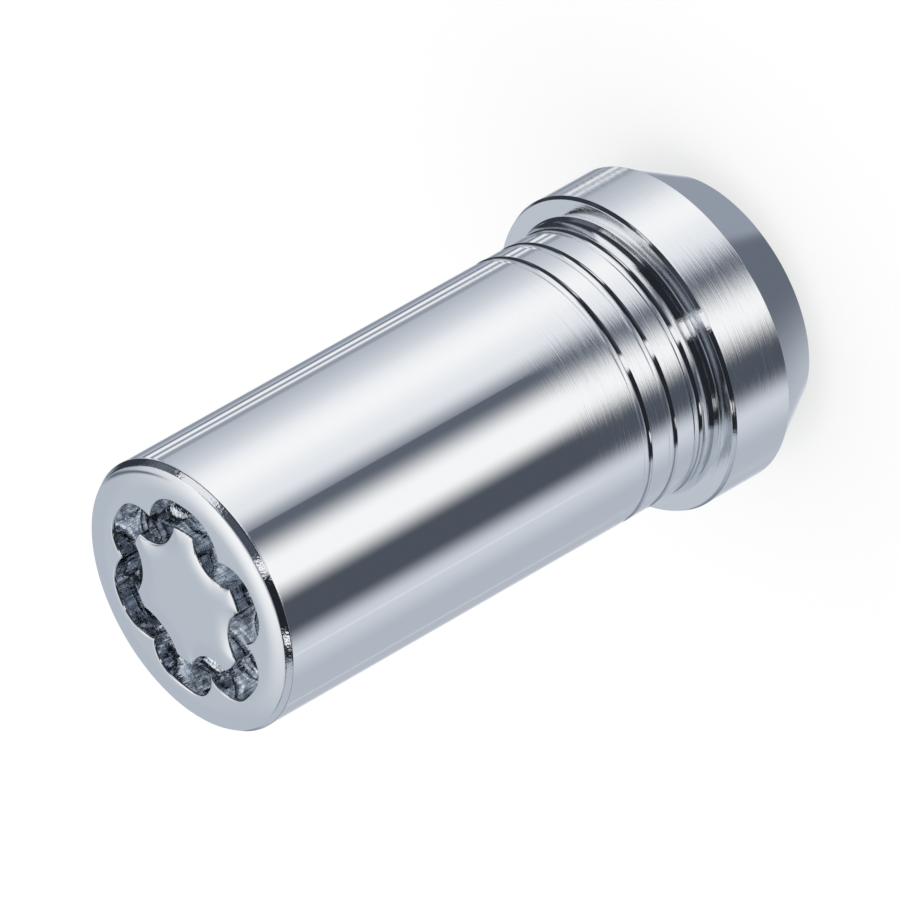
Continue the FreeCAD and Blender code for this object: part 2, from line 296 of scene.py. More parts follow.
def outline_points(radii, angles):
    turn = np.radians(angles)
    return np.stack([radii * np.cos(turn), radii * np.sin(turn)], -1)


def soft_distance(points, outline):
    """Like distance_to, but smooth where two walls are equally far."""
    steps = np.roll(outline, -1, 0) - outline
    lengths = np.sqrt((steps ** 2).sum(-1))
    squares = ((points[:, None, :] - (outline + steps / 2)[None, :, :]) ** 2).sum(-1)
    return ((lengths / squares ** 3).sum(-1) * 8 / (3 * math.pi)) ** -0.2


RIM_SLOPE = 0.25        # slope of a crowned rim where its small round starts
RIM_POWER = 2.5
RIM_STEPS = 5


def crown_depth(gap, width):
    """Depth of a crowned rim below the face, at a distance from the wall."""
    share = np.clip(1.0 - gap / width, 0.0, 1.0)
    return RIM_SLOPE * width / RIM_POWER * share ** RIM_POWER


def rim_steps(width, radius):
    """Distance from the wall and depth of the points over a rim's small round, down to the wall."""
    start = math.atan(RIM_SLOPE)
    top = float(crown_depth(radius * (1 - math.sin(start)), width))
    steps = []
    for step in range(RIM_STEPS + 1):
        turn = start + (math.pi / 2 - start) * step / RIM_STEPS
        depth = top + radius * (math.cos(start) - math.cos(turn))
        steps.append((radius * (1 - math.sin(turn)), depth))
    return steps


class HeadRings:
    """Rings of points over the head's face, its key groove and its island. Each ring has one radius
    and one height on every ray, in millimetres, and the heights are measured from the face."""

    REACH = 0.75        # how far past a wall the rim is measured
    SAMPLES = 72

    def __init__(self, nut, angles):
        self.island_crown = nut.island_crown / MM
        self.land_crown = nut.land_crown / MM
        self.island_rim = rim_steps(self.island_crown, nut.rim_round / MM)
        self.land_rim = rim_steps(self.land_crown, nut.rim_round / MM)
        self.angles = angles
        self.fillet = nut.key_fillet / MM
        self.depth = nut.key_depth / MM
        tip = nut.tip_radius / MM
        fine = np.sort(np.concatenate([np.arange(0.0, 360.0, 0.25), angles]))
        outer_line = outline_points(outer_wall(fine), fine)
        island_line = outline_points(island_wall(fine, tip), fine)
        self.island_line = island_line
        self.outer = outer_wall(angles)
        self.island = island_wall(angles, tip)
        self.rings = []
        spans = [(self.island - self.REACH, self.island), (self.island, self.outer),
                 (self.outer, self.outer + self.REACH)]
        shares = np.linspace(0.0, 1.0, self.SAMPLES)
        self.radii = [a[:, None] + (b - a)[:, None] * shares for a, b in spans]
        self.gaps = []
        beside = ((island_line,), (island_line, outer_line), (outer_line,))
        for radii, lines in zip(self.radii, beside):
            table = np.zeros((len(lines),) + radii.shape)
            for ray, angle in enumerate(angles):
                points = outline_points(radii[ray], angle)
                for row, line in enumerate(lines):
                    table[row, ray] = distance_to(points, line)
            self.gaps.append(table)

    def radius_at(self, span, row, gap, from_end):
        """On each ray, the radius where the distance to a wall first reaches a gap."""
        found = []
        for radii, gaps in zip(self.radii[span], self.gaps[span][row]):
            if from_end:
                radii, gaps = radii[::-1], gaps[::-1]
            found.append(np.interp(gap, np.maximum.accumulate(gaps), radii))
        return np.array(found)

    def gap_at(self, row, radii):
        """Distance to the island (row 0) or the outer wall (row 1) inside the groove."""
        samples = zip(radii, self.radii[1], self.gaps[1][row])
        return np.array([np.interp(radius, *sample) for radius, *sample in samples])

    def rise(self, gap):
        """Height of the fillet above the floor at a distance from a wall."""
        short = np.clip(self.fillet - gap, 0.0, self.fillet)
        return self.fillet - np.sqrt(self.fillet ** 2 - short ** 2)

    def add(self, radii, heights):
        self.rings.append((radii, heights + np.zeros_like(radii)))

    def add_floor(self, radii):
        rises = self.rise(self.gap_at(0, radii)) + self.rise(self.gap_at(1, radii))
        self.add(radii, np.minimum(rises, self.fillet) - self.depth)

    def island_top(self):
        for share in (0.15, 0.35, 0.5, 0.6, 0.69, 0.77, 0.84, 0.895, 0.935, 0.965):
            radii = self.island * share
            gaps = soft_distance(outline_points(radii, self.angles), self.island_line)
            self.add(radii, -crown_depth(gaps, self.island_crown))
        for gap, depth in self.island_rim[:-1]:
            self.add(self.radius_at(0, 0, gap, from_end=True), -depth)

    def walls(self, wall, rim, down):
        top = -rim[-1][1]
        heights = [top, top - 0.05, -0.5 * self.depth,
                   self.fillet - self.depth + 0.08, self.fillet - self.depth]
        for height in heights if down else reversed(heights):
            self.add(wall, height)

    def floor(self):
        margin = 0.01 * self.gap_at(0, self.radii[1][:, self.SAMPLES // 2])
        rays = zip(self.gaps[1][0] - self.gaps[1][1], self.radii[1])
        middle = np.array([np.interp(0.0, difference, radii) for difference, radii in rays])
        steps = [self.fillet * (1 - math.cos(math.pi / 2 * step / 8)) for step in range(1, 9)]
        for gap in steps:
            radii = self.radius_at(1, 0, gap, from_end=False)
            self.add_floor(np.minimum(radii, middle - margin))
        self.add_floor(middle)
        for gap in reversed(steps):
            radii = self.radius_at(1, 1, gap, from_end=True)
            self.add_floor(np.maximum(radii, middle + margin))

    def land(self, edge):
        for gap, depth in reversed(self.land_rim[:-1]):
            self.add(self.radius_at(2, 0, gap, from_end=False), -depth)
        for share in (0.6, 0.8, 1.0, 1.2):
            gap = self.land_crown * share
            depth = float(crown_depth(gap, self.land_crown))
            self.add(self.radius_at(2, 0, gap, from_end=False), -depth)
        start = self.rings[-1][0]
        for share in (0.5, 1.0):
            self.add(start + (edge - start) * share, 0.0)


def flat_radius(nut):
    """Where the head's flat face ends and its crowned rim starts."""
    return nut.body_radius - nut.bevel_width - nut.crown_width


def build_head(nut, angles):
    """The head's face with the key groove, as one open sheet out to the rim's crown."""
    head = HeadRings(nut, angles)
    head.island_top()
    head.walls(head.island, head.island_rim, down=True)
    head.floor()
    head.walls(head.outer, head.land_rim, down=False)
    head.land(flat_radius(nut) / MM)

    turn = np.radians(angles)
    count = len(angles)
    vertices = [(0.0, 0.0, HIGH.z)]
    for radii, heights in head.rings:
        x = radii * np.cos(turn) * MM
        y = radii * np.sin(turn) * MM
        vertices += list(zip(x, y, HIGH.z + heights * MM))
    faces = [(0, 1 + ray, 1 + (ray + 1) % count) for ray in range(count)]
    for ring in range(len(head.rings) - 1):
        start = 1 + ring * count
        for ray in range(count):
            after = (ray + 1) % count
            faces.append((start + ray, start + count + ray, start + count + after, start + after))
    return new_object("head", vertices, faces)


# Turned surfaces

SUPPORT = 0.03 * MM     # plain strip beside a round, so that it doesn't bend the flat's shading
MOUTH = 0.5 * MM        # how far the bore's mouth is wider than the thread's root
MOUTH_CONE = 0.15 * MM  # height where the mouth's cone meets the first thread
FLAT_JOIN = 1.2 * MM    # from the thread's root to where the outside's sheet ends on the flat ring
CROWN_STEPS = 9


def rounded(corners, step=math.radians(12)):
    """The section line through (radius, height, round) corners, with each round as an arc."""
    points = [Vector(corners[0][:2])]
    for index in range(1, len(corners) - 1):
        corner = Vector(corners[index][:2])
        radius = corners[index][2]
        if not radius:
            points.append(corner)
            continue
        back = (Vector(corners[index - 1][:2]) - corner).normalized()
        ahead = (Vector(corners[index + 1][:2]) - corner).normalized()
        turn = math.pi - back.angle(ahead)
        cut = radius * math.tan(turn / 2)
        start = corner + back * cut
        end = corner + ahead * cut
        centre = corner + (back + ahead).normalized() * (radius / math.cos(turn / 2))
        steps = max(2, math.ceil(turn / step))
        points.append(start + back * SUPPORT)
        spokes = [(spot - centre).normalized() for spot in (start, end)]
        for part in range(steps + 1):
            points.append(centre + spokes[0].slerp(spokes[1], part / steps) * radius)
        points.append(end + ahead * SUPPORT)
    points.append(Vector(corners[-1][:2]))
    return points


def outside_corners(nut):
    """Corners (radius, height, round) of the outside, from the head's edge down to the flat ring
    of the foot."""
    body = nut.body_radius
    collar = HIGH.x
    collar_top = nut.seat_length + nut.collar_height
    root_top = collar_top + nut.neck_root_height
    flare_top = root_top + nut.neck_flare_height
    flare = body + nut.neck_flare_rise
    foot = collar - nut.seat_length * math.tan(nut.seat_angle / 2)
    edge = nut.edge_round
    start = flat_radius(nut)
    bevel_top = HIGH.z - nut.crown_drop
    corners = []
    for step in range(CROWN_STEPS):
        share = step / CROWN_STEPS
        corners.append((start + nut.crown_width * share, HIGH.z - nut.crown_drop * share ** 2, 0.0))
    corners += [(body - nut.bevel_width, bevel_top, 4 * edge),
                (body, bevel_top - nut.bevel_height, 3.3 * edge)]
    for ring in reversed(range(nut.ring_count)):
        low = flare_top + nut.neck_land + ring * nut.ring_pitch
        floor_low = low + nut.ring_low_run
        floor_high = floor_low + nut.ring_floor
        floor = body - nut.ring_depth
        corners += [(body, floor_high + nut.ring_high_run, edge), (floor, floor_high, edge),
                    (floor, floor_low, 10 * edge), (body, low, edge)]
    corners += [
        (body, flare_top, nut.neck_flare_round),
        (flare, root_top, edge),
        (flare + nut.neck_root_rise, collar_top, 2 * edge),
        (collar - nut.collar_bevel_width, collar_top, edge),
        (collar, collar_top - nut.collar_bevel_height, edge),
        (collar, nut.seat_length, edge),
        (foot, 0.0, 2 * edge),
        (nut.thread_radius + FLAT_JOIN, 0.0, 0.0),
    ]
    return corners


def bore_section(nut):
    """Section line of the bore from the foot's flat ring to the drill point, and a mark for each
    point that says whether it winds with the thread."""
    root = nut.thread_radius
    mouth = root + MOUTH
    crest = root - nut.thread_pitch / 2
    pitch = nut.thread_pitch
    plain = rounded([(mouth + MOUTH, 0.0, 0.0), (mouth, 0.0, nut.edge_round),
                     (mouth - MOUTH_CONE, MOUTH_CONE, 0.0)])
    line = [(point.x, point.y, 0.0) for point in plain]
    # One pitch of the thread, as (share of the pitch, radius).
    profile = ((0.0, crest), (0.22, crest), (0.27, crest + 0.04 * MM), (0.50, root - 0.04 * MM),
               (0.55, root), (0.67, root), (0.72, root - 0.04 * MM), (0.95, crest + 0.04 * MM))
    turns = math.ceil(nut.thread_end / pitch) + 1
    for turn in range(-1, turns):
        line += [(radius, (turn + share) * pitch, 1.0) for share, radius in profile]
    line.append((crest, nut.thread_end, 0.0))
    point = rounded([(crest, nut.thread_end + SUPPORT, 0.0),
                     (crest, nut.bore_end, 4 * nut.edge_round), (0.0, nut.bore_tip, 0.0)])
    line += [(spot.x, spot.y, 0.0) for spot in point]
    return line


def section_object(name, line):
    """A section line as a mesh whose points carry the thread mark."""
    made = new_object(name, [(point[0], 0.0, point[1]) for point in line])
    winds = made.data.attributes.new("winds", "FLOAT", "POINT")
    winds.data.foreach_set("value", [point[2] if len(point) > 2 else 0.0 for point in line])
    return made


def rays_object(name, angles):
    """The rays' directions as a mesh whose points carry their share of a full turn."""
    turn = np.radians(angles)
    made = new_object(name, zip(np.cos(turn), np.sin(turn), np.zeros(len(angles))))
    share = made.data.attributes.new("share", "FLOAT", "POINT")
    share.data.foreach_set("value", [float(angle) / 360.0 for angle in angles])
    return made


def turned_surface_tree():
    """Turns a section line about the nut's axis. Points marked to wind climb with the thread's
    pitch, stop at the thread's two ends, fade out at the upper one and are cut by the lead-in."""
    tree = bpy.data.node_groups.new("Turned Surface", "GeometryNodeTree")
    sockets = (
        ("Geometry", "Geometry", None), ("Section", "Object", None), ("Rays", "Object", None),
        ("Pitch", "Float", 1.5 * MM), ("Crest Radius", "Float", 6.25 * MM),
        ("Mouth Radius", "Float", 7.5 * MM), ("Thread Start", "Float", MOUTH_CONE),
        ("Thread End", "Float", 35 * MM), ("Merge Distance", "Float", 0.0005 * MM),
        ("Material", "Material", None),
    )
    for name, kind, default in sockets:
        socket = tree.interface.new_socket(name, in_out="INPUT", socket_type="NodeSocket" + kind)
        if default is not None:
            socket.default_value = default
    tree.interface.new_socket("Geometry", in_out="OUTPUT", socket_type="NodeSocketGeometry")

    n = Nodes(tree)
    given = n.add("NodeGroupInput").outputs

    def contents(name):
        shown = n.add("GeometryNodeObjectInfo", {"Object": given[name]}).outputs["Geometry"]
        size = n.add("GeometryNodeAttributeDomainSize", {"Geometry": shown}, component="MESH")
        return shown, size.outputs["Point Count"]

    def sample(geometry, kind, value, index):
        inputs = {"Geometry": geometry, "Value": value, "Index": index}
        node = n.add("GeometryNodeSampleIndex", inputs, data_type=kind, domain="POINT")
        return node.outputs["Value"]

    def attribute(name):
        node = n.add("GeometryNodeInputNamedAttribute", {"Name": name}, data_type="FLOAT")
        return node.outputs[0]

    section, section_count = contents("Section")
    rays, ray_count = contents("Rays")
    columns = n.whole("ADD", ray_count, 1)
    sheet = n.add("GeometryNodeMeshGrid", {"Vertices X": columns, "Vertices Y": section_count})
    index = n.add("GeometryNodeInputIndex").outputs[0]
    column = n.whole("DIVIDE_FLOOR", index, section_count)
    row = n.whole("MODULO", index, section_count)
    ray = n.whole("MODULO", column, ray_count)
    position = n.add("GeometryNodeInputPosition").outputs[0]

    direction = sample(rays, "FLOAT_VECTOR", position, ray)
    share = sample(rays, "FLOAT", attribute("share"), ray)
    turned = n.math("ADD", share, n.whole("DIVIDE_FLOOR", column, ray_count))
    corner = sample(section, "FLOAT_VECTOR", position, row)
    spot = n.add("ShaderNodeSeparateXYZ", {"Vector": corner}).outputs
    winds = sample(section, "FLOAT", attribute("winds"), row)

    climbed = n.math("MULTIPLY_ADD", turned, given["Pitch"], spot["Z"])
    limits = {"Value": climbed, "Min": given["Thread Start"], "Max": given["Thread End"]}
    thread_height = n.add("ShaderNodeClamp", limits).outputs[0]
    fade_start = n.math("MULTIPLY_ADD", given["Pitch"], -2.0, given["Thread End"])
    fade = n.ease(thread_height, fade_start, given["Thread End"], 1.0, 0.0)
    tooth = n.math("SUBTRACT", spot["X"], given["Crest Radius"])
    thread_radius = n.math("MULTIPLY_ADD", tooth, fade, given["Crest Radius"])
    cone_radius = n.math("SUBTRACT", given["Mouth Radius"], thread_height)
    thread_radius = n.math("MAXIMUM", thread_radius, cone_radius)

    height = n.mix(winds, spot["Z"], thread_height, "FLOAT")
    radius = n.mix(winds, spot["X"], thread_radius, "FLOAT")
    out = n.add("ShaderNodeVectorMath", operation="SCALE")
    n.set(out.inputs[0], direction)
    n.set(out.inputs["Scale"], radius)
    up = n.add("ShaderNodeCombineXYZ", {"Z": height}).outputs[0]
    place = n.calc("ShaderNodeVectorMath", "ADD", (out.outputs[0], up))
    moved = n.add("GeometryNodeSetPosition", {"Geometry": sheet.outputs["Mesh"], "Position": place})
    joined = n.add("GeometryNodeJoinGeometry")
    n.set(joined.inputs[0], given["Geometry"])
    n.set(joined.inputs[0], moved.outputs[0])
    merge = {"Geometry": joined.outputs[0], "Distance": given["Merge Distance"]}
    merged = n.add("GeometryNodeMergeByDistance", merge)
    real = n.add("GeometryNodeRealizeInstances", {"Geometry": merged.outputs[0]})
    finish = {"Geometry": real.outputs[0], "Material": given["Material"]}
    painted = n.add("GeometryNodeSetMaterial", finish)
    n.add("NodeGroupOutput", {"Geometry": painted.outputs[0]})
    return tree


def run_tree(base, tree, values):
    """Put the tree on an object, set its inputs and return the finished mesh."""
    modifier = base.modifiers.new(tree.name, "NODES")
    modifier.node_group = tree
    keys = {item.name: item.identifier for item in tree.interface.items_tree
            if item.in_out == "INPUT"}
    for name, value in values.items():
        modifier[keys[name]] = value
    bpy.context.view_layer.update()
    evaluated = base.evaluated_get(bpy.context.evaluated_depsgraph_get())
    mesh = bpy.data.meshes.new_from_object(evaluated)
    base.modifiers.remove(modifier)
    return mesh


# Finishes

def axis_distance(n, place):
    """Distance of a place from the nut's axis, and its three coordinates."""
    axes = n.add("ShaderNodeSeparateXYZ", {"Vector": place}).outputs
    squares = [n.math("MULTIPLY", axes[name], axes[name]) for name in "XY"]
    return n.math("SQRT", n.math("ADD", *squares)), axes


def noise(n, place, scale, detail, roughness=0.5):
    inputs = {"Vector": place, "Scale": scale, "Detail": detail, "Roughness": roughness}
    return n.add("ShaderNodeTexNoise", inputs).outputs["Fac"]


def mark_group():
    """Fine marks left by turning: thin lines round the axis, on walls and faces alike."""
    tree = bpy.data.node_groups.new("Turning Marks", "ShaderNodeTree")
    for name, default in (("Lines", 9000.0), ("Stretch", 60.0), ("Depth", 1.0)):
        socket = tree.interface.new_socket(name, in_out="INPUT", socket_type="NodeSocketFloat")
        socket.default_value = default
    tree.interface.new_socket("Height", in_out="OUTPUT", socket_type="NodeSocketFloat")
    tree.interface.new_socket("Streaks", in_out="OUTPUT", socket_type="NodeSocketFloat")
    n = Nodes(tree)
    given = n.add("NodeGroupInput").outputs
    radius, axes = axis_distance(n, n.add("ShaderNodeTexCoord").outputs["Object"])
    along = n.math("ADD", radius, axes["Z"])
    spot = n.add("ShaderNodeCombineXYZ", {
        "X": n.math("MULTIPLY", axes["X"], given["Stretch"]),
        "Y": n.math("MULTIPLY", axes["Y"], given["Stretch"]),
        "Z": n.math("MULTIPLY", along, given["Lines"]),
    }).outputs[0]
    fine = noise(n, spot, 1.0, 3.0, 0.65)
    broad = noise(n, spot, 0.22, 1.0)
    lines = n.math("MULTIPLY_ADD", broad, 0.5, fine)
    height = n.math("MULTIPLY", lines, given["Depth"])
    n.add("NodeGroupOutput", {"Height": height, "Streaks": n.ease(fine, 0.35, 0.7)})
    return tree


def new_material(name):
    material = bpy.data.materials.new(name)
    material.use_nodes = True
    material.node_tree.nodes.clear()
    n = Nodes(material.node_tree)
    shader = n.add("ShaderNodeBsdfPrincipled", {"Metallic": 1.0})
    n.add("ShaderNodeOutputMaterial", {"Surface": shader.outputs[0]})
    return material, n, shader


def use_group(n, tree, values):
    node = n.add("ShaderNodeGroup", node_tree=tree)
    for name, value in values.items():
        n.set(node.inputs[name], value)
    return node.outputs


def bump(n, height, distance):
    inputs = {"Height": height, "Distance": distance, "Strength": 1.0}
    return n.add("ShaderNodeBump", inputs).outputs[0]


def chrome_material(nut, finish, marks):
    """Polished chrome. Its turning marks show on the collar's end of the nut, less on the body's +Y
    side, and the head's bevel and the neck are gritty."""
    material, n, shader = new_material("polished_chrome")
    shader.inputs["Base Color"].default_value = (*finish.chrome, 1.0)
    place = n.add("ShaderNodeTexCoord").outputs["Object"]
    radius, axes = axis_distance(n, place)
    height = axes["Z"]
    turned = n.ease(height, finish.marks_end, finish.marks_full)
    fade = n.ease(axes["Y"], 5 * MM, 9 * MM, 1.0, 0.12)
    collar = n.ease(radius, nut.body_radius + 0.5 * MM, nut.body_radius + 1.5 * MM, 0.0, 0.6)
    depth = n.math("MULTIPLY", turned, n.math("MAXIMUM", fade, collar))

    bevel_edge = nut.body_radius - nut.bevel_width
    bevel_foot = HIGH.z - nut.crown_drop - nut.bevel_height
    bevel = n.math("MULTIPLY", n.ease(radius, bevel_edge - 0.09 * MM, bevel_edge + 0.03 * MM),
                   n.ease(height, bevel_foot - 0.17 * MM, bevel_foot - 0.02 * MM))
    neck_foot = nut.seat_length + nut.collar_height - nut.collar_bevel_height
    neck_top = neck_foot + nut.collar_bevel_height + nut.neck_root_height + nut.neck_flare_height
    neck = n.math("MULTIPLY", n.ease(height, neck_top + 0.4 * MM, neck_top + 0.1 * MM),
                  n.ease(height, neck_foot - 0.17 * MM, neck_foot - 0.02 * MM))
    lines = use_group(n, marks, {"Lines": 9000.0, "Stretch": 90.0, "Depth": depth})
    grit = noise(n, place, 4500.0, 2.0)
    gritty = n.math("MULTIPLY_ADD", bevel, 1.2, n.math("MULTIPLY", neck, 0.3))
    rough = n.math("MULTIPLY", lines["Streaks"], turned)
    n.set(shader.inputs["Roughness"],
          n.math("MULTIPLY_ADD", rough, finish.turned - finish.polish, finish.polish))
    marked = n.math("MULTIPLY_ADD", grit, gritty, lines["Height"])
    n.set(shader.inputs["Normal"], bump(n, marked, 0.012 * MM))
    return material


def seat_material(finish, marks):
    """Chrome of the cone seat and foot, turned smooth."""
    material, n, shader = new_material("seat_chrome")
    shader.inputs["Base Color"].default_value = (*finish.chrome, 1.0)
    lines = use_group(n, marks, {"Lines": 5000.0, "Stretch": 60.0, "Depth": 1.0})
    n.set(shader.inputs["Roughness"], n.math("MULTIPLY_ADD", lines["Streaks"], 0.05, 0.06))
    n.set(shader.inputs["Normal"], bump(n, lines["Height"], 0.002 * MM))
    return material


def groove_material(finish):
    """Chrome on the key groove's pressed walls, scored along and across them, with a few pits."""
    material, n, shader = new_material("groove_chrome")
    place = n.add("ShaderNodeTexCoord").outputs["Object"]

    def marks(scale, detail):
        spot = n.add("ShaderNodeMapping", {"Vector": place, "Scale": scale}).outputs[0]
        return noise(n, spot, 1.0, detail)

    across = marks((400.0, 400.0, 4200.0), 1.0)
    along = marks((4800.0, 4800.0, 200.0), 1.0)
    cloud = marks((900.0, 900.0, 900.0), 1.0)
    pits = n.ease(marks((2500.0, 2500.0, 2500.0), 0.0), 0.68, 0.76)
    # Darker patches and streaks at random over the groove's walls: partly wear along the scores,
    # partly painted shade that dims the recess.
    wear_and_shade = n.math("ADD", n.math("MULTIPLY", along, 0.6), n.math("MULTIPLY", cloud, 0.4))
    dark = (*[c * 0.57 for c in finish.groove], 1.0)
    tone = n.mix(n.ease(wear_and_shade, 0.47, 0.56), dark, (*finish.groove, 1.0))
    n.set(shader.inputs["Base Color"], tone)
    n.set(shader.inputs["Roughness"], 0.055)
    scores = n.math("ADD", n.math("MULTIPLY", across, 0.3), n.math("MULTIPLY", along, 1.3))
    dents = n.math("MULTIPLY_ADD", pits, 1.2, n.math("MULTIPLY", cloud, 0.3))
    n.set(shader.inputs["Normal"], bump(n, n.math("ADD", scores, dents), 0.008 * MM))
    return material


def thread_material(finish, marks):
    """Thinly plated steel of the bore and the thread."""
    material, n, shader = new_material("thread_steel")
    lines = use_group(n, marks, {"Lines": 6000.0, "Stretch": 300.0, "Depth": 1.0})
    dark = (*[c * 0.75 for c in finish.thread], 1.0)
    n.set(shader.inputs["Base Color"], n.mix(lines["Streaks"], dark, (*finish.thread, 1.0)))
    n.set(shader.inputs["Roughness"], n.math("MULTIPLY_ADD", lines["Streaks"], 0.12, 0.24))
    n.set(shader.inputs["Normal"], bump(n, lines["Height"], 0.002 * MM))
    return material


BODY, GROOVE, SEAT, BORE = range(4)     # the skin's material slots


def finish_at(nut, radius, height):
    """Which material slot a face has, by the place of its middle."""
    if radius < nut.thread_radius + 0.4 * MM and height < nut.bore_tip + MM:
        return BORE
    if height < nut.seat_length:
        return SEAT
    if radius < flat_radius(nut) and height < HIGH.z - nut.rim_round:
        return GROOVE
    return BODY


def bridge_foot(made):
    """Close the flat ring of the foot, between the outside's last ring and the bore's first."""
    edges = [edge for edge in made.edges if edge.is_boundary]
    bmesh.ops.bridge_loops(made, edges=edges)


def build_nut(nut, finish):
    marks = mark_group()
    materials = [chrome_material(nut, finish, marks), groove_material(finish),
                 seat_material(finish, marks), thread_material(finish, marks)]
    angles = ray_angles(nut.tip_radius / MM)
    head = build_head(nut, angles)
    empty = new_object("bore_start", [])
    outside = section_object("outside_section", rounded(outside_corners(nut)))
    bore = section_object("bore_section", bore_section(nut))
    rays = rays_object("rays", angles)
    bore_rays = rays_object("bore_rays", np.arange(nut.bore_segments) * 360.0 / nut.bore_segments)
    tree = turned_surface_tree()
    sizes = {"Pitch": nut.thread_pitch, "Crest Radius": nut.thread_radius - nut.thread_pitch / 2,
             "Mouth Radius": nut.thread_radius + MOUTH, "Thread End": nut.thread_end,
             "Material": materials[BODY]}
    outer_mesh = run_tree(head, tree, {**sizes, "Section": outside, "Rays": rays})
    bore_mesh = run_tree(empty, tree, {**sizes, "Section": bore, "Rays": bore_rays})

    made = bmesh.new()
    made.from_mesh(outer_mesh)
    made.from_mesh(bore_mesh)
    bridge_foot(made)
    bmesh.ops.recalc_face_normals(made, faces=made.faces)
    open_edges = sum(len(edge.link_faces) != 2 for edge in made.edges)
    if open_edges:
        raise RuntimeError("the nut's skin has %d open edges" % open_edges)
    for face in made.faces:
        middle = face.calc_center_median()
        face.smooth = True
        face.material_index = finish_at(nut, math.hypot(middle.x, middle.y), middle.z)
    mesh = bpy.data.meshes.new("wheel_nut_skin")
    made.to_mesh(mesh)
    made.free()
    for material in materials:
        mesh.materials.append(material)
    piece = bpy.data.objects.new("wheel_nut_skin", mesh)
    bpy.context.scene.collection.objects.link(piece)
    remove_objects(head, empty, outside, bore, rays, bore_rays)
    bpy.data.meshes.remove(outer_mesh)
    bpy.data.meshes.remove(bore_mesh)
    return piece


# Studio

# What stands round the nut, as the chrome sees it. Azimuth is from +X towards +Y and height is
# above the horizon, in degrees. A card covers those before it. Its ends are at bottom and top, its
# sides at azimuth - half and + half, and slant moves its middle along as the height goes up from
# BODY_HEIGHT. Its tone is a grey level in linear light, tinted by TINT where it is dark.
Card = namedtuple("Card", "name azimuth half low_soft high_soft bottom top end_soft slant tone")
CARDS = (
    Card("slate_floor", 0, 181, 1, 1, -130, -65, 17, 0.0, 0.165),
    Card("left_floor", 125, 45, 10, 6, -77, -42, 2.5, 0.0, 0.35),
    Card("key_wall", 90, 69, 5, 5, -20, 34, 4, 0.0, 0.04),
    Card("key_haze", 111, 14, 5, 5, 8, 34, 5, 0.0, 0.15),
    Card("overhead_paper", 150, 55, 8, 25, 42, 130, 16, 0.0, 1.0),
    Card("window", 73, 20, 3, 3, 18, 50, 2, 0.0, 0.85),
    Card("back_flag", 164.3, 1.2, 1.2, 1.2, 20, 40, 4, 0.0, 0.15),
    Card("key_gap", 10, 24, 4, 12, -60, -20, 5, 0.0, 0.24),
    Card("key_edge", 126, 3, 3, 8, -60, -20, 5, 0.0, 0.29),
    Card("key_box", 63, 35, 11, 27, -60, -20, 5, 0.8, 0.87),
    Card("key_core", 66, 14, 14, 16, -60, -20, 5, 0.8, 1.0),
    Card("key_lift", 72, 22, 5, 3, -24, -8, 4, 0.0, 0.9),
    Card("side_lift", 115, 23, 4, 6, -24, -13, 4, 0.0, 0.4),
    Card("thin_white_1", 131.5, 1.8, 1.5, 1.2, -45, -24, 5, 0.0, 0.92),
    Card("thin_dark_1", 136, 1.0, 1.2, 1.2, -45, -24, 5, 0.0, 0.25),
    Card("thin_white_2", 141, 2.4, 1.2, 1.2, -45, -24, 5, 0.0, 0.95),
    Card("thin_dark_2", 146.8, 1.3, 1.0, 1.0, -45, -24, 5, 0.0, 0.14),
    Card("left_wall", 160, 6, 6, 4, -38, -4, 5, 0.0, 0.30),
    Card("far_paper", 180, 10.0, 6, 12, -60, -4, 8, 0.0, 0.95),
    Card("flag_left", 9, 11.3, 10, 0.6, -60, -20, 5, 0.8, 0.14),
    Card("flag_right", -55, 30, 2, 2, -60, -20, 5, 0.8, 0.095),
    Card("strip_box", -15, 17.5, 11, 13, -60, -20, 5, 0.8, 1.0),
    Card("side_paper", -86, 14, 14, 11, -60, -20, 5, 0.8, 0.68),
    Card("fold_line", -86, 1.0, 1.0, 1.0, -60, -20, 5, 0.0, 0.76),
    Card("side_line", -142, 1.5, 1.5, 1.5, -45, -20, 8, 0.0, 0.62),
    Card("side_wall", -185, 24, 5, 4, -24, 6, 3, 3.0, 0.27),
    Card("dark_room", -20, 66, 3, 3, -14, 130, 4, 0.0, 0.02),
    Card("room_ceiling", -18, 108, 8, 8, 48, 130, 4, 0.0, 0.02),
    Card("room_side", -96, 10, 3, 8, 26, 60, 4, 0.0, 0.02),
    Card("side_haze", -130, 24, 4, 4, 28, 38, 3, 0.0, 0.28),
    Card("room_haze", 20, 26, 8, 8, 24, 46, 8, 0.0, 0.085),
    Card("room_strip", -8, 6.0, 2.0, 2.0, -6, 78, 4, 0.0, 0.95),
    Card("room_patch", -69, 4.0, 1.5, 1.5, 17, 36, 3, 0.0, 0.95),
    Card("sky_paper", 0, 181, 1, 1, 64, 130, 8, 0.0, 0.35),
)
CARD_INPUTS = ("Middle", "Half", "Low Soft", "High Soft", "Bottom", "Top", "End Soft", "Slant")
BODY_HEIGHT = -31.7     # height that the nut's upright walls mirror to the photograph's camera
HORIZON_SOFT = 12.0
# Paper behind all cards, below and above the horizon
BASE_LOW = (0.47, 0.51, 0.57, 1.0)
BASE_HIGH = (0.475, 0.525, 0.585, 1.0)
TINT = (0.80, 0.96, 1.25)


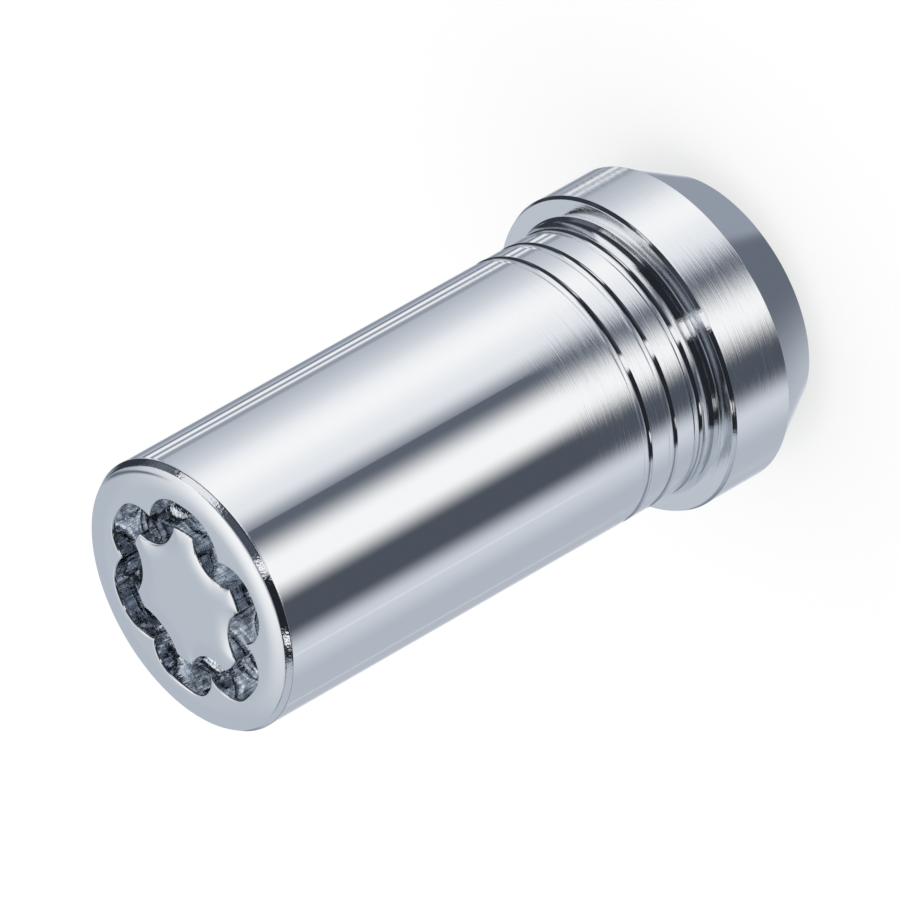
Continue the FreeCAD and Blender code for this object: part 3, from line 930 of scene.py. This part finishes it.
def card_group():
    """One card of the studio, laid over what is behind it."""
    tree = bpy.data.node_groups.new("Studio Card", "ShaderNodeTree")
    for name in ("Azimuth", "Height") + CARD_INPUTS:
        tree.interface.new_socket(name, in_out="INPUT", socket_type="NodeSocketFloat")
    for name in ("Behind", "Card"):
        tree.interface.new_socket(name, in_out="INPUT", socket_type="NodeSocketColor")
    tree.interface.new_socket("Color", in_out="OUTPUT", socket_type="NodeSocketColor")
    n = Nodes(tree)
    given = n.add("NodeGroupInput").outputs

    def edge(value, at, soft):
        return n.ease(value, n.math("SUBTRACT", at, soft), n.math("ADD", at, soft))

    lean = n.math("MULTIPLY", n.math("SUBTRACT", given["Height"], BODY_HEIGHT), given["Slant"])
    away = n.math("SUBTRACT", n.math("SUBTRACT", given["Azimuth"], given["Middle"]), lean)
    away = n.math("WRAP", away, 180.0, -180.0)
    rising = edge(away, n.math("MULTIPLY", given["Half"], -1.0), given["Low Soft"])
    falling = edge(away, given["Half"], given["High Soft"])
    across = n.math("MULTIPLY", rising, n.math("SUBTRACT", 1.0, falling))
    lifted = edge(given["Height"], given["Bottom"], given["End Soft"])
    capped = n.math("SUBTRACT", 1.0, edge(given["Height"], given["Top"], given["End Soft"]))
    mask = n.math("MULTIPLY", across, n.math("MULTIPLY", lifted, capped))
    n.add("NodeGroupOutput", {"Color": n.mix(mask, given["Behind"], given["Card"])})
    return tree


def tinted(tone):
    """Dark tones are slightly blue, whites are neutral."""
    return tuple(tone * (1 + (tint - 1) * (1 - tone)) for tint in TINT) + (1.0,)


def build_world(studio):
    """White for the camera, even light for the floor, and the studio's cards for the chrome."""
    world = bpy.data.worlds.new("studio")
    bpy.context.scene.world = world
    world.use_nodes = True
    world.node_tree.nodes.clear()
    n = Nodes(world.node_tree)
    direction = n.add("ShaderNodeTexCoord").outputs["Generated"]
    axes = n.add("ShaderNodeSeparateXYZ", {"Vector": direction}).outputs
    azimuth = n.math("DEGREES", n.math("ARCTAN2", axes["Y"], axes["X"]))
    height = n.math("DEGREES", n.math("ARCSINE", axes["Z"]))
    colour = n.mix(n.ease(height, -HORIZON_SOFT, HORIZON_SOFT), BASE_LOW, BASE_HIGH)
    group = card_group()
    for card in CARDS:
        values = {"Azimuth": azimuth, "Height": height, "Behind": colour, "Card": tinted(card.tone)}
        values.update(zip(CARD_INPUTS, card[1:-1]))
        colour = use_group(n, group, values)["Color"]
    light = n.add("ShaderNodeLightPath").outputs
    plain = (studio.plain_light,) * 3 + (1.0,)
    colour = n.mix(light["Is Glossy Ray"], plain, colour)
    seen = n.math("MAXIMUM", light["Is Camera Ray"], light["Is Transmission Ray"])
    colour = n.mix(seen, colour, (1.0, 1.0, 1.0, 1.0))
    shade = n.add("ShaderNodeBackground", {"Color": colour, "Strength": 1.0})
    n.add("ShaderNodeOutputWorld", {"Surface": shade.outputs[0]})


def floor_material(studio):
    """Pale paper that the camera sees nearly white, with the nut's shadow, but not from below."""
    material = bpy.data.materials.new("studio_paper")
    material.use_nodes = True
    material.node_tree.nodes.clear()
    n = Nodes(material.node_tree)
    paper = n.add("ShaderNodeBsdfDiffuse", {"Color": (studio.paper,) * 3 + (1.0,)})
    glow = n.add("ShaderNodeEmission", {"Strength": studio.paper_glow})
    light = n.add("ShaderNodeLightPath").outputs
    none = n.add("ShaderNodeEmission", {"Strength": 0.0})
    lit = n.add("ShaderNodeMixShader", {"Fac": light["Is Camera Ray"]})
    n.set(lit.inputs[1], none.outputs[0])
    n.set(lit.inputs[2], glow.outputs[0])
    both = n.add("ShaderNodeAddShader")
    n.set(both.inputs[0], paper.outputs[0])
    n.set(both.inputs[1], lit.outputs[0])
    clear = n.add("ShaderNodeBsdfTransparent")
    under = n.add("ShaderNodeNewGeometry").outputs["Backfacing"]
    sided = n.add("ShaderNodeMixShader", {"Fac": under})
    n.set(sided.inputs[1], both.outputs[0])
    n.set(sided.inputs[2], clear.outputs[0])
    n.add("ShaderNodeOutputMaterial", {"Surface": sided.outputs[0]})
    return material


def build_floor(studio):
    half = 3.0
    corners = [(x * half, y * half, 0.0) for x, y in ((-1, -1), (1, -1), (1, 1), (-1, 1))]
    floor = new_object("floor", corners, [(0, 1, 2, 3)])
    floor.data.materials.append(floor_material(studio))
    floor.visible_glossy = False


LAMP_SPREAD = math.radians(50)
LAMP_TURN = (math.radians(12), math.radians(18), 0)


def build_lamp(studio):
    data = bpy.data.lights.new("soft_lamp", "SUN")
    data.energy = studio.lamp
    data.angle = LAMP_SPREAD
    lamp = bpy.data.objects.new("soft_lamp", data)
    bpy.context.scene.collection.objects.link(lamp)
    lamp.rotation_euler = LAMP_TURN
    lamp.visible_glossy = False


CAMERA_ELEVATION = math.radians(31.68)
CAMERA_ROLL = math.radians(119.56)
HEAD_PIXEL = (185.3, 599.5)     # the head's centre, from the 900 x 900 picture's corner
IMAGE_SIZE = 900
SENSOR = 36.0


def build_camera(studio):
    """The photograph's view: from +X, above the head, and rolled so that the nut lies aslant."""
    forward = Vector((-math.cos(CAMERA_ELEVATION), 0.0, -math.sin(CAMERA_ELEVATION)))
    level_up = Vector((-math.sin(CAMERA_ELEVATION), 0.0, math.cos(CAMERA_ELEVATION)))
    up = level_up * math.cos(CAMERA_ROLL) + Vector((0.0, 1.0, 0.0)) * math.sin(CAMERA_ROLL)
    right = forward.cross(up)
    per_pixel = SENSOR / IMAGE_SIZE / studio.lens
    across = (HEAD_PIXEL[0] - IMAGE_SIZE / 2) * per_pixel
    down = (HEAD_PIXEL[1] - IMAGE_SIZE / 2) * per_pixel
    head = Vector((0.0, 0.0, HIGH.z))
    place = head - (forward + right * across - up * down) * studio.distance
    data = bpy.data.cameras.new("photo_camera")
    data.lens = studio.lens
    data.sensor_width = SENSOR
    data.clip_start = 0.01
    data.clip_end = 100.0
    camera = bpy.data.objects.new("photo_camera", data)
    bpy.context.scene.collection.objects.link(camera)
    turn = Matrix((right, up, -forward)).transposed().to_4x4()
    camera.matrix_world = Matrix.Translation(place) @ turn
    bpy.context.scene.camera = camera


class WHEELNUT_OT_nut(bpy.types.Operator):
    """Build the chromed nut and let it stand for the CAD solid"""
    bl_idname = "wheelnut.nut"
    bl_label = "Nut"

    def execute(self, context):
        piece = build_nut(context.scene.nut_sizes, context.scene.nut_finish)
        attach(piece, "root")
        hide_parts(NODE)
        return {"FINISHED"}


class WHEELNUT_OT_stage(bpy.types.Operator):
    """Build the floor, the light and the photograph's camera"""
    bl_idname = "wheelnut.stage"
    bl_label = "Stage"

    def execute(self, context):
        studio = context.scene.nut_studio
        context.scene.view_settings.view_transform = "Standard"
        build_floor(studio)
        build_world(studio)
        build_lamp(studio)
        build_camera(studio)
        return {"FINISHED"}


class WHEELNUT_PT_panel(bpy.types.Panel):
    """The nut's sizes, finishes and studio"""
    bl_idname = "WHEELNUT_PT_panel"
    bl_label = "Wheel Nut"
    bl_space_type = "VIEW_3D"
    bl_region_type = "UI"
    bl_category = "Wheel Nut"

    def draw(self, context):
        scene = context.scene
        for title, group in (("Sizes", scene.nut_sizes), ("Finish", scene.nut_finish),
                             ("Studio", scene.nut_studio)):
            box = self.layout.box()
            box.label(text=title)
            for name in group.__annotations__:
                box.prop(group, name)
        self.layout.operator("wheelnut.nut")
        self.layout.operator("wheelnut.stage")


CLASSES = (NutSizes, NutFinish, NutStudio, WHEELNUT_OT_nut, WHEELNUT_OT_stage, WHEELNUT_PT_panel)


def register():
    for item in CLASSES:
        bpy.utils.register_class(item)
    bpy.types.Scene.nut_sizes = PointerProperty(type=NutSizes)
    bpy.types.Scene.nut_finish = PointerProperty(type=NutFinish)
    bpy.types.Scene.nut_studio = PointerProperty(type=NutStudio)


def unregister():
    del bpy.types.Scene.nut_studio
    del bpy.types.Scene.nut_finish
    del bpy.types.Scene.nut_sizes
    for item in reversed(CLASSES):
        bpy.utils.unregister_class(item)


def main():
    register()
    bpy.ops.wheelnut.stage()
    bpy.ops.wheelnut.nut()


if __name__ == "__main__":
    main()
